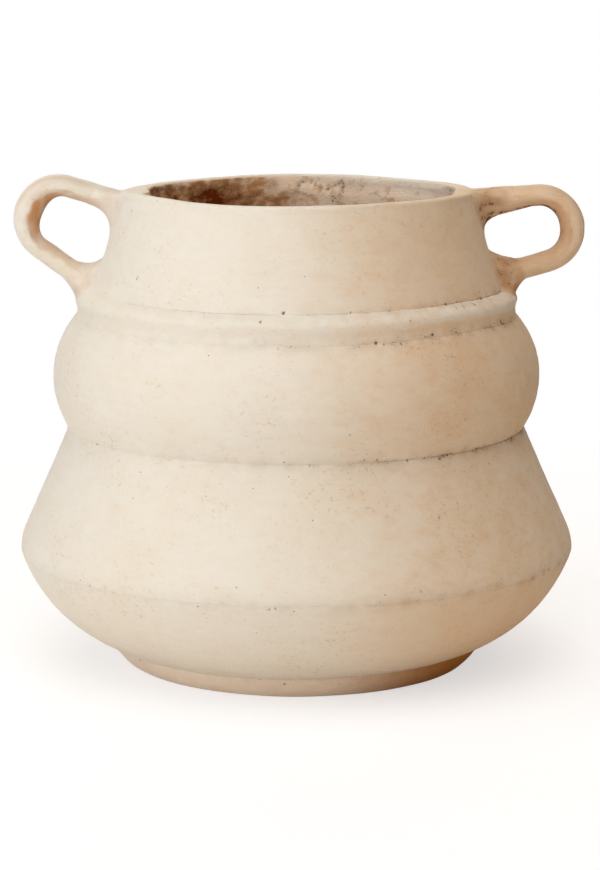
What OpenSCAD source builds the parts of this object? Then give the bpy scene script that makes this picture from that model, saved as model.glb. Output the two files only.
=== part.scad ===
// Urn vase, hand-built in clay sections that are luted together at rebated seams.
// A foot ring carries a lower bowl, and on it stand a shoulder wall, a belly ring and a neck.
// A cordon covers the neck's joint, coils cover the seams inside, and two unequal loop handles
// sit between the rim and the cordon, each end bedded in a collar of luting clay.
// Millimetres, +Z up, origin in the middle of the standing plane.

/* [Wall] */
// Thickness of the clay wall
wall = 8; // [6:0.5:10]
// Width of the wall where two sections meet
seam_w = 9.5; // [8:0.5:11]

/* [Foot] */
// Radius of the foot at the ground
foot_r = 93; // [86:1:98]
// Radius of the foot's top edge, where the bowl begins
foot_top_r = 102; // [99:1:110]
// Height of the foot
foot_h = 12; // [8:1:18]
// Width of the standing ring
foot_ring_w = 16; // [10:1:24]
// Rounding of the foot's lower edge
foot_round = 3; // [1:0.5:5]

/* [Lower bowl] */
// Thickness of the floor
floor_t = 10; // [7:1:14]
// How far the bowl swells past the straight line from the foot to the keel
bowl_bulge = 7.6; // [4:0.2:12]

/* [Keel] */
// Largest radius of the body, at the keel seam
keel_r = 149.4; // [140:0.2:158]
// Height of the keel seam
keel_h = 61.5; // [54:0.5:70]
// Rounding between the keel seam and the shoulder
keel_round = 26; // [12:1:40]

/* [Waist] */
// Radius of the waist crease
waist_r = 122.4; // [116:0.2:128]
// Height of the waist crease
waist_h = 128; // [118:1:136]

/* [Belly] */
// How far the belly swells past the straight line from the waist to the cordon
belly_bulge = 10.2; // [6:0.2:14]
// Radius of the crease under the cordon
belly_top_r = 118.4; // [115:0.2:123]
// Height of the crease under the cordon
belly_top_h = 187; // [178:1:192]

/* [Cordon] */
// Height of the cordon
cordon_h = 14.6; // [11:0.2:17]
// How far the cordon's round face stands out from its chord
cordon_bulge = 4.5; // [3:0.5:6]

/* [Neck] */
// Radius of the neck at its base, behind the cordon
neck_r = 110.5; // [108:0.5:112]
// Outer radius of the rim
rim_r = 95; // [88:1:100]
// Height of the rim
rim_h = 254; // [246:1:264]
// Thickness of the rounded rim
rim_t = 8; // [6:0.5:10]
// How far the neck swells past a straight cone, or draws in where this is below zero
neck_bulge = -0.6; // [-2:0.2:3]

/* [Seams] */
// Height of the rebate that keys one section into the next
lap_h = 3; // [2:0.5:5]
// Clearance in a seam, filled with slip
slip = 0.2; // [0.1:0.05:0.4]
// Radius of the coils pressed over the seams inside
seam_coil_r = 5.5; // [4:0.5:6]
// How deep the middle of a seam coil lies in the wall
seam_coil_sink = 1; // [0.5:0.25:1.5]

/* [Left handle] */
// Reach of the left handle, from the middle of the vase
left_reach = 151.3; // [144:0.1:158]
// How far the left handle rises above the rim
left_rise = 9.2; // [2:0.2:12]
// Radius of the left handle's bend, along its middle
left_bend_r = 17.5; // [14:0.5:19]
// Thickness of the left handle at its bend
left_rod = 14.8; // [11:0.2:16]
// Thickness of the left handle's legs
left_leg = 13; // [10:0.2:14]
// How far the left handle's top lies below the rim where it meets the neck
left_drop = 3; // [1.5:0.5:6]
// Height of the rim above the place where the left handle's lower leg meets the wall
left_root_h = 53.5; // [42:0.5:56]
// How far the left handle's lower collar spreads down over the cordon
left_spread = 5.5; // [3:0.5:10]

/* [Right handle] */
// Reach of the right handle, from the middle of the vase
right_reach = 153.9; // [146:0.1:160]
// How far the right handle rises above the rim
right_rise = 3.2; // [0:0.2:8]
// Radius of the right handle's bend, along its middle
right_bend_r = 17.5; // [14:0.5:19]
// Thickness of the right handle at its bend
right_rod = 12.8; // [10:0.2:15]
// Thickness of the right handle's legs
right_leg = 12; // [9:0.2:13]
// How far the right handle's top lies below the rim where it meets the neck
right_drop = 1.5; // [1.5:0.5:6]
// Height of the rim above the place where the right handle's lower leg meets the wall
right_root_h = 48; // [42:0.5:56]
// How far the right handle's lower collar spreads down over the cordon
right_spread = 17; // [8:0.5:18]

/* [Both handles] */
// Depth of a handle from front to back
handle_depth = 15; // [12:0.5:18]

/* [Luting] */
// Length of a luting collar along the handle
luting_l = 13; // [9:1:18]
// Thickness of a collar's thin end
luting_skin = 0.8; // [0.5:0.1:1.5]
// How far an upper collar spreads down the neck, under the handle
upper_spread = 9.5; // [4:0.5:12]
// How far a lower collar spreads up the neck, into the loop
lower_fill = 5; // [1:0.5:8]

/* [Hidden] */

// Fineness of a turned surface, an outline's curve, and a handle's and a collar's rings
$fn = 120;
curve_steps = 20;
leg_steps = 3;
bend_steps = 26;
rod_sides = 20;
collar_steps = 6;

// How sharply a collar thins away from the neck
collar_taper = 1.6;

// Clay colours: the coated outside, the lower wall, the bare foot and the stained inside
coat_cream = [0.91, 0.87, 0.79];
coat_warm = [0.88, 0.81, 0.70];
bare_tan = [0.80, 0.69, 0.56];
inside_brown = [0.55, 0.40, 0.28];

// Corners of the outline, from the bottom up
foot_top = [foot_top_r, foot_h];
keel = [keel_r, keel_h];
waist = [waist_r, waist_h];
belly_top = [belly_top_r, belly_top_h];
neck_base = [neck_r, belly_top_h];
neck_start = [neck_r, belly_top_h + cordon_h];
rim_out = [rim_r, rim_h - rim_t / 2];
rim_mid = [rim_r - rim_t / 2, rim_h - rim_t / 2];

// Corners of the inside, each level with the top of its seam's rebate
floor_top = foot_h + floor_t;
keel_in = [keel_r - seam_w, keel_h + lap_h];
waist_in = [waist_r - seam_w, waist_h + lap_h];
neck_in = [neck_r - seam_w, belly_top_h + lap_h];
rim_in = [rim_r - rim_t, rim_h - rim_t / 2];
over_slip = [0, slip];

// The foot's bore, which takes the boss under the bowl
foot_bore_r = foot_r - foot_ring_w;

// Unit vector square to the line from p to q, on its right
function square_to(p, q) = [q[1] - p[1], p[0] - q[0]] / norm(q - p);

// Radius of an arc over the chord from p to q whose middle stands out by bulge
function arc_r(p, q, bulge) = let (h = norm(q - p) / 2) (h * h + bulge * bulge) / (2 * bulge);

// Centre of that arc
function arc_centre(p, q, bulge) = (p + q) / 2 + square_to(p, q) * (bulge - arc_r(p, q, bulge));

// Points along that arc, which bulges to the right of the line from p to q, or is that line
function arc(p, q, bulge) = bulge == 0 ? [p, q] :
    let (r = arc_r(p, q, bulge), c = arc_centre(p, q, bulge), out = square_to(p, q),
         along = (q - p) / norm(q - p), half = asin(norm(q - p) / 2 / r))
    [for (i = [0 : curve_steps]) let (a = half * (2 * i / curve_steps - 1))
        c + r * (out * cos(a) + along * sin(a))];

// Bulge with which the arc from p to q lies one wall inside the middle of the arc from a to b
function inner_bulge(p, q, a, b, bulge) =
    ((a + b) / 2 + square_to(a, b) * (bulge - wall) - (p + q) / 2) * square_to(p, q);

// Angle at which a line from p touches a circle: side 1 is the upper line, -1 the lower
function touch_angle(c, r, p, side) =
    let (d = p - c) atan2(d[1], d[0]) - side * acos(r / norm(d));

function reversed(points) = [for (i = [len(points) - 1 : -1 : 0]) points[i]];
function without_first(points) = [for (i = [1 : len(points) - 1]) points[i]];

// Outside and inside of each section, from the bottom up
bowl_out = arc(foot_top, keel, bowl_bulge);
bowl_c = arc_centre(foot_top, keel, bowl_bulge);
bowl_in_r = arc_r(foot_top, keel, bowl_bulge) - wall;
floor_edge = [bowl_c[0] + sqrt(pow(bowl_in_r, 2) - pow(bowl_c[1] - floor_top, 2)), floor_top];
bowl_in = arc(floor_edge, keel_in, inner_bulge(floor_edge, keel_in, foot_top, keel, bowl_bulge));

keel_c = [keel_r - keel_round, keel_h];
keel_turn = touch_angle(keel_c, keel_round, waist, 1);
keel_arc = [for (i = [0 : curve_steps]) let (a = keel_turn * i / curve_steps)
    keel_c + keel_round * [cos(a), sin(a)]];
shoulder_out = concat(keel_arc, [waist]);
shoulder_in = [keel_in + over_slip, waist_in];

belly_out = arc(waist, belly_top, belly_bulge);
belly_start = waist_in + over_slip;
belly_in = arc(belly_start, neck_in, inner_bulge(belly_start, neck_in, waist, belly_top, belly_bulge));

cordon_out = arc(belly_top, neck_start, cordon_bulge);
neck_out = arc(neck_start, rim_out, neck_bulge);
rim_round = [for (i = [1 : curve_steps - 1]) let (a = 180 * i / curve_steps)
    rim_mid + rim_t / 2 * [cos(a), sin(a)]];
neck_inner = [neck_in + over_slip, rim_in];

// A seam's rebate: the step that the lower section has, and the one in the upper that clears it
function rebate_r(p) = p[0] - seam_w / 2;
function step_up(p) = [[rebate_r(p), p[1]], [rebate_r(p), p[1] + lap_h]];
function step_over(p) = let (r = rebate_r(p) + slip) [[r, p[1] + lap_h + slip], [r, p[1]]];

module foot_ring() {
    lean = atan2(foot_h, foot_top_r - foot_r);
    cut = foot_round * tan(lean / 2);
    edge = arc([foot_r - cut, 0], [foot_r, 0] + cut * [cos(lean), sin(lean)],
               foot_round * (1 - cos(lean / 2)));
    color(bare_tan)
        rotate_extrude()
            polygon(concat([[foot_bore_r, 0]], edge, [foot_top, [foot_bore_r, foot_h]]));
}

module lower_bowl() {
    boss_r = foot_bore_r - slip;
    boss = [[0, foot_h - lap_h], [boss_r, foot_h - lap_h], [boss_r, foot_h]];
    color(coat_warm)
        rotate_extrude()
            polygon(concat(boss, bowl_out, step_up(keel), reversed(bowl_in), [[0, floor_top]]));
}

module shoulder_wall() {
    color(coat_cream)
        rotate_extrude()
            polygon(concat(shoulder_out, step_up(waist), reversed(shoulder_in), step_over(keel)));
}

module belly_ring() {
    color(coat_cream)
        rotate_extrude()
            polygon(concat(belly_out, step_up(neck_base), reversed(belly_in), step_over(waist)));
}

module neck_collar() {
    color(coat_cream)
        rotate_extrude()
            polygon(concat([neck_base], neck_out, rim_round, reversed(neck_inner),
                           step_over(neck_base)));
}

module cordon() {
    color(coat_cream)
        rotate_extrude()
            polygon(concat([neck_base], cordon_out));
}

// A coil pressed over the seam that ends inside at p
module seam_coil(p) {
    color(inside_brown)
        rotate_extrude()
            intersection() {
                translate(p + [seam_coil_sink, 0])
                    circle(seam_coil_r);
                polygon(concat([[0, floor_top]], bowl_in, shoulder_in, belly_in, neck_inner,
                               [[0, rim_in[1]]]));
            }
}

// Outer face from the waist to the rim, where a handle may be luted on
handle_wall = concat(belly_out, without_first(cordon_out), without_first(neck_out));

// All that lies within that face.
// The turning starts at the back, clear of the handles.
module bed() {
    rim_crest = curve_steps / 2;
    rotate(90)
        rotate_extrude()
            polygon(concat([[0, waist_h]], handle_wall,
                           [for (i = [0 : rim_crest - 1]) rim_round[i]], [[0, rim_h]]));
}

// Radius of that face at a height, and the point one wall's thickness inside it
function wall_r(h) = lookup(h, [for (p = handle_wall) [p[1], p[0]]]);
function root(h) = [wall_r(h) - wall, h];

// A handle: its bend's centre and radius, the thickness of rod and legs, and the two points
// inside the wall where its upper and its lower leg start
function handle(reach, rise, bend, rod, leg, drop, root_h) =
    [[reach - rod / 2 - bend, rim_h + rise - rod / 2 - bend], bend, rod, leg,
     root(rim_h - drop - leg / 2), root(rim_h - root_h)];
function bend_c(h) = h[0];
function bend_r(h) = h[1];
function rod_t(h) = h[2];
function leg_t(h) = h[3];
function root_of(h, side) = side > 0 ? h[4] : h[5];

left = handle(left_reach, left_rise, left_bend_r, left_rod, left_leg, left_drop, left_root_h);
right = handle(right_reach, right_rise, right_bend_r, right_rod, right_leg, right_drop,
               right_root_h);

// Angle at which a leg leaves the bend, and the bend's middle at an angle
function leave_angle(h, side) = touch_angle(bend_c(h), bend_r(h), root_of(h, side), side);
function on_bend(h, a) = bend_c(h) + bend_r(h) * [cos(a), sin(a)];

// Half the thickness where the outer side faces the angle a: even in the legs, swelling to the rod
function half_at(h, a) =
    let (low = leave_angle(h, -1), high = leave_angle(h, 1))
    leg_t(h) / 2 + (rod_t(h) - leg_t(h)) / 2 * pow(sin(180 * (a - low) / (high - low)), 2);

// Middle line at the distance s from a root: the point, and the angle that the outer side faces
function middle(h, side, s) =
    let (a = leave_angle(h, side), foot = root_of(h, side), leg = on_bend(h, a) - foot,
         past = max(0, s - norm(leg)), turned = a - side * past / bend_r(h) * 180 / PI)
    [past > 0 ? on_bend(h, turned) : foot + leg * s / norm(leg), turned];

// Ring of points round a handle's middle point p, where the outer side faces the angle a.
// A collar adds its skin all round, spread on the side of the loop's opening, and spread
// on the outer side.
function ring(h, p, a, skin = 0, inner_spread = 0, outer_spread = 0) =
    [for (j = [0 : rod_sides - 1])
        let (t = 360 * j / rod_sides,
             grow = skin + inner_spread * (1 - cos(t)) / 2 + outer_spread * (1 + cos(t)) / 2,
             n = (half_at(h, a) + grow) * cos(t))
        [p[0] + n * cos(a), (handle_depth / 2 + grow) * sin(t), p[1] + n * sin(a)]];

// Triangles between ring i and ring k of a tube
function band(i, k) =
    [for (j = [0 : rod_sides - 1])
        let (j2 = (j + 1) % rod_sides, a = i * rod_sides, b = k * rod_sides)
        each [[a + j, b + j, b + j2], [a + j, b + j2, a + j2]]];

// Rings of a whole handle: the lower leg, the bend, which swells to the rod, and the upper leg
function handle_rings(h) =
    let (low = leave_angle(h, -1), high = leave_angle(h, 1))
    concat(
        [for (i = [0 : leg_steps - 1]) let (t = i / leg_steps)
            ring(h, root_of(h, -1) * (1 - t) + on_bend(h, low) * t, low)],
        [for (i = [0 : bend_steps]) let (a = low + (high - low) * i / bend_steps)
            ring(h, on_bend(h, a), a)],
        [for (i = [1 : leg_steps]) let (t = i / leg_steps)
            ring(h, on_bend(h, high) * (1 - t) + root_of(h, 1) * t, high)]);

module loop_handle(h) {
    rings = handle_rings(h);
    last = len(rings) - 1;
    ends = [[for (j = [0 : rod_sides - 1]) j],
            [for (j = [rod_sides - 1 : -1 : 0]) last * rod_sides + j]];
    color(coat_warm)
        difference() {
            polyhedron([for (r = rings) each r],
                       concat([for (i = [0 : last - 1]) each band(i, i + 1)], ends));
            bed();
        }
}

// A collar of clay round one leg, thin at its far end and spread out over the neck.
// An upper collar's rings run inwards, as the handle's do there, so that all faces look outwards.
module luting(h, side, inner_spread, outer_spread) {
    along = [for (i = [0 : collar_steps]) i / collar_steps];
    places = concat([middle(h, side, 0)], [for (t = along) middle(h, side, wall + luting_l * t)]);
    thins = concat([1], [for (t = along) pow(1 - t, collar_taper)]);
    bore = [for (m = places) ring(h, m[0], m[1])];
    face = [for (i = [0 : len(places) - 1]) let (m = places[i])
        ring(h, m[0], m[1], luting_skin, inner_spread * thins[i], outer_spread * thins[i])];
    outwards = concat(face, reversed(bore));
    rings = side > 0 ? reversed(outwards) : outwards;
    count = len(rings);
    color(coat_warm)
        difference() {
            polyhedron([for (r = rings) each r],
                       [for (i = [0 : count - 1]) each band(i, (i + 1) % count)]);
            bed();
        }
}

module upper_luting(h) luting(h, 1, upper_spread, 0);
module lower_luting(h, spread) luting(h, -1, lower_fill, spread);

module to_left() {
    mirror([1, 0, 0])
        children();
}

module left_handle() to_left() loop_handle(left);
module right_handle() loop_handle(right);
module left_upper_luting() to_left() upper_luting(left);
module left_lower_luting() to_left() lower_luting(left, left_spread);
module right_upper_luting() upper_luting(right);
module right_lower_luting() lower_luting(right, right_spread);
module keel_seam_coil() seam_coil(keel_in);
module waist_seam_coil() seam_coil(waist_in);
module neck_seam_coil() seam_coil(neck_in);

foot_ring();
lower_bowl();
shoulder_wall();
belly_ring();
neck_collar();
cordon();
left_handle();
right_handle();
left_upper_luting();
left_lower_luting();
right_upper_luting();
right_lower_luting();
keel_seam_coil();
waist_seam_coil();
neck_seam_coil();
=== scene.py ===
# %% [markdown]
# # A hand-built urn vase
# The real pot was raised from clay sections, one on another: a foot, a bowl, a shoulder, a belly
# and a neck. A rolled cordon hides the last joint and two unequal loop handles were luted on.
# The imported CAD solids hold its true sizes. This lesson dresses each of them in hand-pressed clay:
# the walls are measured on the solids, and what a hand adds to them is written here.

# %% Load the frame
import itertools
import math

import bmesh
import bpy
import numpy as np
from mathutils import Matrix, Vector
from mathutils.bvhtree import BVHTree


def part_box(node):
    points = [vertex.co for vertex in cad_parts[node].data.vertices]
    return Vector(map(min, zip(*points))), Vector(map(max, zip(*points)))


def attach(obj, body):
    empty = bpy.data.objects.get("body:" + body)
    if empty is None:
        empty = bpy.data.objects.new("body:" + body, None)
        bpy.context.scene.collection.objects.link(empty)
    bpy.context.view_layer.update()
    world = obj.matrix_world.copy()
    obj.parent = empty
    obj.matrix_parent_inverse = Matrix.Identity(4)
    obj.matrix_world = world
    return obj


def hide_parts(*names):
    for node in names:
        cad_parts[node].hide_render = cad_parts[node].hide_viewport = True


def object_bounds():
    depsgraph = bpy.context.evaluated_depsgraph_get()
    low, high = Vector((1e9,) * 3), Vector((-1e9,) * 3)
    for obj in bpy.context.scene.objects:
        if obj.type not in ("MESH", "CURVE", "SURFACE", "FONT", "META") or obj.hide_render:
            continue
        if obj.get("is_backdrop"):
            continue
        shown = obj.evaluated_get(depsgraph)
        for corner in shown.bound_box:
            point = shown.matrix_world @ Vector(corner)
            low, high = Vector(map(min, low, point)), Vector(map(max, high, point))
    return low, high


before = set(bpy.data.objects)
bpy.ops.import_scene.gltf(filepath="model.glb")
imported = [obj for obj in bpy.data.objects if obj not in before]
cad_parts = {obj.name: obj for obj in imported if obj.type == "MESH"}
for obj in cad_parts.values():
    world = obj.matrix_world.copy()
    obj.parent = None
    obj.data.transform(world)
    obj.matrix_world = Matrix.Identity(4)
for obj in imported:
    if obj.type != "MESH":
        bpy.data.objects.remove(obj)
cad_low, cad_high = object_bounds()
MM = 0.001
print("CAD box in mm:", [round(v / MM, 1) for v in cad_high - cad_low])

# %% [markdown]
# ## Measuring the solids
# Every wall is a turned solid, so one ray per height tells its radius. A ray from far outside meets
# the outer face, and a ray from the axis meets the inner one. Typing the outline in again would
# work too, but then two files would have to be kept alike. The trees for the rays are made now,
# because a solid that a piece replaces is hidden and has no mesh.

# %% Rays and seam heights
bpy.context.view_layer.update()
depsgraph = bpy.context.evaluated_depsgraph_get()
surfaces = {name: BVHTree.FromObject(solid, depsgraph) for name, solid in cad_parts.items()}


def ray_radius(node, height, outside=True):
    """Radius of a turned solid's outer or inner face at a height, measured at the front."""
    start = Vector((0, -1 if outside else 0, height))
    along = Vector((0, 1 if outside else -1, 0))
    return -surfaces[node].ray_cast(start, along)[0].y


def heights(node):
    """Lowest and highest level of a solid."""
    low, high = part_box(node)
    return low.z, high.z


foot_top = heights("foot_ring")[1]
keel = heights("shoulder_wall")[0]
waist = heights("belly_ring")[0]
cordon_low, cordon_high = heights("cordon")
rim = heights("neck_collar")[1]
print("seams in mm:", [round(z / MM, 1) for z in (foot_top, keel, waist, cordon_low, cordon_high, rim)])

# %% [markdown]
# ## Hand-made unevenness
# A coil-built wall is never round: it swells a little over a palm's width, dips under each finger
# and keeps the marks of the wiping cloth. Smooth random lumps of those sizes, added together,
# give that. They are read at a point's place in space, so neighbouring sections agree at a seam.
# Each kind of lump has its own shift, any number, so that no two kinds fall together.

# %% Lumps
LATTICE = np.random.default_rng(11).uniform(-1, 1, (64, 64, 64))


def lumps(points, size, shift=0.0):
    """Smooth random lumps from about -1 to 1, of that size in metres, or of a size for each axis."""
    place = points / np.asarray(size) + shift
    cell = np.floor(place).astype(int)
    part = place - cell
    part = part * part * (3 - 2 * part)
    total = np.zeros(points.shape[:-1])
    for corner in itertools.product((0, 1), repeat=3):
        weight = np.prod(np.where(corner, part, 1 - part), axis=-1)
        x, y, z = np.moveaxis((cell + corner) % len(LATTICE), -1, 0)
        total += weight * LATTICE[x, y, z]
    return total


# %% Palm, finger and thumb marks
OUTSIDE_MARKS = (
    # height in mm, size in mm or one for each axis, and shift, of palm, finger and cloth marks
    (0.42, 55, 0.0),
    (0.17, 19, 5.3),
    (0.07, (22, 22, 2.6), 9.1),
)
THUMB_DENTS = (
    # place and depth in mm, where a thumb pressed the neck inside a loop
    ((-106, 0, 222), 1.4),
    ((107, 0, 218), 0.7),
)
THUMB = 15 * MM


def hand_marks(points, kinds):
    """How far some kinds of marks swell or dip the clay, in metres."""
    return sum(high * MM * lumps(points, MM * np.array(size), shift) for high, size, shift in kinds)


def palm_and_finger_marks(points):
    """How far the outside swells or dips, in metres."""
    marks = hand_marks(points, OUTSIDE_MARKS)
    for place, depth in THUMB_DENTS:
        apart = np.linalg.norm(points - MM * np.array(place), axis=-1)
        marks -= depth * MM * np.exp(-(apart / THUMB) ** 2)
    return marks


# %% [markdown]
# ## Seams and pits
# Where two sections meet, the clay was pressed and smeared shut with a finger. On one half of the
# pot that was done with care. On the other the seams stay open and torn, with pits in a ragged line
# and a brown smudge beside them, partly dirt and partly painted shade, as under the cordon. Pits and
# grooves are real dents in the mesh. Each point also notes the dirt and painted shade in and beside
# its dent, in a value called recess, which the finish uses later to darken it. The large pits are
# where the real pot has them, and the small ones are drawn at random.

# %% Pits
SEAMS = {
    # level in metres; depth and half width of the groove, how far it wanders and how much clay
    # fills it, in mm; share of dirt and painted shade; and pits per turn
    "foot": (foot_top, 0.5, 1.5, 0.7, 1.0, 0.8, 20),
    "keel": (keel, 0.25, 1.0, 1.6, 0.0, 0.8, 20),
    "waist": (waist, 0.25, 1.3, 0.5, 0.9, 1.0, 30),
    "cordon_low": (cordon_low, 0.45, 1.4, 0.6, 0.4, 1.0, 18),
    "cordon_high": (cordon_high, 0.2, 1.5, 0.6, 0.7, 0.6, 24),
}
LARGE_PITS = (
    # turn from the front in degrees, height and radius in mm
    (-85, 249.6, 0.5), (-63, 245.8, 0.5), (-50.6, 214.3, 0.5), (-22, 146.5, 0.5),
    (-4, 60.5, 0.6), (32.4, 99.5, 0.5), (38.2, 105.2, 0.5), (65.4, 188.4, 1.4),
    (35.8, 188.4, 0.7), (33.5, 187.9, 0.5), (72.4, 205.4, 0.9), (81, 198.5, 0.8),
    (60, 201.6, 0.8), (-3.4, 9.2, 0.7), (16, 129.8, 0.6), (36.4, 127, 0.7),
)
SMALLEST_PIT = 0.45 * MM
PIT_GROWTH = 0.4 * MM
PIT_SCATTER = 0.5
CARELESS_SIDE = math.radians(55)
dice = np.random.default_rng(23)


def carelessness(turn):
    """How roughly the seams were closed at a turn from the front, from 0 to 1."""
    return 0.53 + 0.47 * np.cos(turn - CARELESS_SIDE)


def seam_pits():
    """Turn, height and radius of every small pit in the seams."""
    found = []
    for level, _, _, wander, _, _, count in SEAMS.values():
        for turn in dice.uniform(-math.pi, math.pi, count):
            keep, big = dice.uniform(0, 1, 2)
            offset = dice.normal(0, PIT_SCATTER + wander)
            if keep < carelessness(turn) ** 1.5:
                found.append((turn, level + offset * MM, SMALLEST_PIT + PIT_GROWTH * big ** 3))
    return found


PITS = [(math.radians(turn), height * MM, radius * MM) for turn, height, radius in LARGE_PITS]
PITS += seam_pits()
print("pits:", len(PITS))

# %% Grooves
SEAM_CIRCLE = 0.1
WANDER_LENGTH = 16 * MM
GAP_LENGTH = 7 * MM
TORN_WIDTH = 1.8
TORN_DEPTH = 0.4
TORN_CRUMB = 2.2 * MM
SMEAR_WIDTH = 2.5 * MM
SHADED_SMUDGE_WIDTH = 4.5 * MM
SHADED_SMUDGE_PATCH = 4.5 * MM
GROOVE_DIRT = 0.15
TORN_DIRT = 0.33
SHADED_SMUDGE_DIRT = 0.3


def around(turn, radius, height):
    """Point at a turn from the front, positive towards the right handle."""
    return np.stack(np.broadcast_arrays(radius * np.sin(turn), -radius * np.cos(turn), height), -1)


def seam_grooves(turn, radius, height):
    """Depth of the seams in metres, and the dirt and painted shade beside them, for a row of turns and a
    column of heights.
    """
    places = around(turn, radius, height)
    crumbly = np.clip(0.2 + lumps(places, TORN_CRUMB, 6.6), 0, 1)
    patchy = np.clip(0.5 + 0.7 * lumps(places, SHADED_SMUDGE_PATCH, 2.8), 0, 1)
    rough = carelessness(turn)
    depth = np.zeros(places.shape[:-1])
    dirt_and_shade = np.zeros_like(depth)
    for level, deep, wide, wander, smeared, dirt_and_shade_share, _ in SEAMS.values():
        line = around(turn, SEAM_CIRCLE, level)
        path = level + wander * MM * lumps(line, WANDER_LENGTH, 3.7)
        opened = np.clip(0.1 + 1.2 * lumps(line, GAP_LENGTH, 1.9), 0, 1) * rough ** 2
        groove = np.exp(-((height - path) / (wide * MM)) ** 2)
        torn = np.exp(-((height - path) / (TORN_WIDTH * wide * MM)) ** 2) * rough ** 2
        fill = smeared * (1.2 - rough) * np.exp(-((height - level) / SMEAR_WIDTH) ** 2)
        # the smudge beside a seam is partly dirt and partly painted shade, as under the cordon
        shaded_smudge = np.exp(-((height - level) / SHADED_SMUDGE_WIDTH) ** 2) * rough ** 2
        depth += MM * (deep * (0.3 + 0.7 * opened) * groove + TORN_DEPTH * torn * crumbly - fill)
        soiled_and_shaded = GROOVE_DIRT * opened * groove + (TORN_DIRT * torn + SHADED_SMUDGE_DIRT * shaded_smudge) * patchy
        dirt_and_shade += dirt_and_shade_share * soiled_and_shaded
    return depth, dirt_and_shade


# %% Dents
PIT_EDGE = 1.5
PIT_DEPTH = 0.8


def dents(turn, radius, height):
    """Depth, and dirt and painted shade, of the seams with the pits added."""
    depth, dirt_and_shade = seam_grooves(turn, radius, height)
    for pit_turn, pit_height, pit_radius in PITS:
        rows = np.abs(height[:, 0] - pit_height) < PIT_EDGE * pit_radius
        if rows.any():
            apart = (turn - pit_turn + math.pi) % (2 * math.pi) - math.pi
            far = ((apart * radius[rows]) ** 2 + (height[rows] - pit_height) ** 2) / pit_radius ** 2
            hole = np.clip(PIT_EDGE - far, 0, 1)
            depth[rows] += PIT_DEPTH * pit_radius * hole
            dirt_and_shade[rows] = np.maximum(dirt_and_shade[rows], hole)
    return depth, np.clip(dirt_and_shade, 0, 1)


# %% [markdown]
# ## One skin for every shape
# Walls, coils, handles and smears are all rows of rings. One function joins the rings with faces,
# closes the ends, and keeps what each point knows about itself, such as its recess. It also lays
# the rings out flat as a texture map, in strips one above the other, so that a finish can be baked
# onto it. A modifier could thicken a turned line too, but it couldn't dent each point by itself.

# %% Texture map
STRIP_GAP = 0.02


def flat_strips(rings, join_ends):
    """Texture map of the bands between rings: one corner list per face, cut into stacked strips."""
    sides = rings.shape[1]
    closed = np.concatenate([rings, rings[:1]]) if join_ends else rings
    along = np.linalg.norm(np.diff(closed, axis=0), axis=2).mean(axis=1)
    across = np.linalg.norm(rings - np.roll(rings, 1, axis=1), axis=2).mean(axis=0).sum()
    strips = max(1, round(math.sqrt(across / along.sum())))
    width = math.ceil(sides / strips)
    level = np.concatenate([[0], np.cumsum(along)]) / along.sum()
    u = np.arange(sides) % width / width
    strip = np.arange(sides) // width
    corners = []
    for right, up in ((0, 0), (1, 0), (1, 1), (0, 1)):
        v = (strip[None, :] + STRIP_GAP + (1 - 2 * STRIP_GAP) * level[up:len(along) + up, None]) / strips
        corners.append(np.stack(np.broadcast_arrays(u[None, :] + right / width, v), -1))
    return np.stack(corners, 2).reshape(-1, 4, 2)


# %% Mesh
def mesh_piece(name, points, faces, marks, corners):
    """An object with marks on its points and a texture map, and with all its faces turned outward."""
    mesh = bpy.data.meshes.new(name)
    mesh.from_pydata(points.tolist(), [], faces)
    for key, value in marks.items():
        mesh.attributes.new(key, "FLOAT", "POINT").data.foreach_set("value", value)
    mesh.uv_layers.new(name="OFBake").data.foreach_set("uv", corners.ravel())
    shaped = bmesh.new()
    shaped.from_mesh(mesh)
    bmesh.ops.recalc_face_normals(shaped, faces=shaped.faces)
    shaped.to_mesh(mesh)
    shaped.free()
    mesh.shade_smooth()
    piece = bpy.data.objects.new(name, mesh)
    bpy.context.scene.collection.objects.link(piece)
    print(name, "has", len(mesh.polygons), "faces")
    return piece


# %% Skin
def ring_faces(count, sides, join_ends):
    """Corner numbers of every face between rings that follow each other."""
    row = np.arange(count if join_ends else count - 1)[:, None]
    side = np.arange(sides)[None, :]
    after = (side + 1) % sides
    here = row * sides
    there = (row + 1) % count * sides
    return np.stack([here + side, here + after, there + after, there + side], -1).reshape(-1, 4).tolist()


def skin(name, rings, join_ends, marks):
    """Closed piece over rings of points: the last ring meets the first, or a fan closes each end."""
    rings = np.asarray(rings, float)
    count, sides, _ = rings.shape
    points = rings.reshape(-1, 3)
    marks = {key: np.broadcast_to(value, (count, sides)).ravel() for key, value in marks.items()}
    faces = ring_faces(count, sides, join_ends)
    corners = flat_strips(rings, join_ends).reshape(-1, 2)
    if not join_ends:
        for ring, edge_v in ((0, STRIP_GAP), (count - 1, 1 - STRIP_GAP)):
            middle = len(points)
            edge = ring * sides + np.arange(sides)
            points = np.vstack([points, rings[ring].mean(axis=0)])
            marks = {key: np.append(value, value[edge].mean()) for key, value in marks.items()}
            faces += [[a, b, middle] for a, b in zip(edge.tolist(), np.roll(edge, -1).tolist())]
            u = np.arange(sides)[:, None] + [0, 1, 0.5]
            v = np.broadcast_to([edge_v, edge_v, round(edge_v)], u.shape)
            corners = np.vstack([corners, np.stack([u / sides, v], -1).reshape(-1, 2)])
    return mesh_piece(name, points, faces, marks, corners)


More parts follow.
